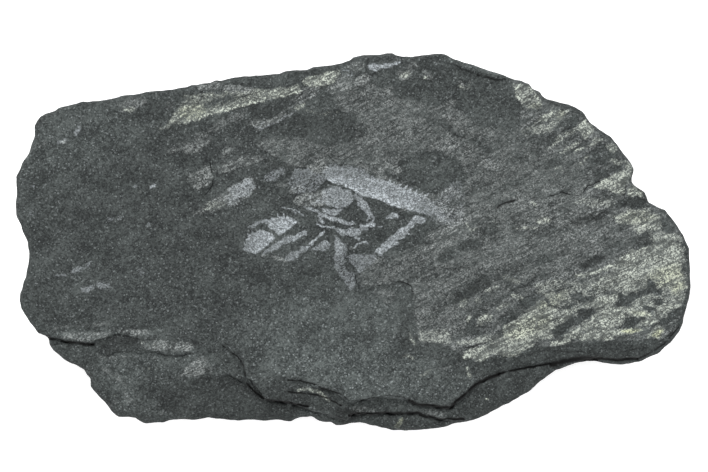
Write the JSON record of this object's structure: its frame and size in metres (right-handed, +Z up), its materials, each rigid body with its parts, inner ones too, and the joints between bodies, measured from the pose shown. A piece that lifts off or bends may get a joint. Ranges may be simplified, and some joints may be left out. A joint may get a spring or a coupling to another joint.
{
  "type": "fossil graptolite plate",
  "caption": "Flat slab of dark grey shale with a ragged broken outline and flaked front ledges; flattened silvery and straw-coloured graptolites lie over its upper face.",
  "frame": {"origin": "centre of the bounding box on the flat underside, where the plate rests", "axes": "+Z up out of the fossil face, +X along the plate's long side, +Y from the ledged front edge to the back edge"},
  "size_m": [0.1054, 0.059, 0.0111],
  "materials": {
    "shale": "matt dark grey split shale, with silvery and straw-coloured graptolite films on the upper face"
  },
  "bodies": {
    "root": {"shale_plate": "shale"}
  },
  "joints": []
}
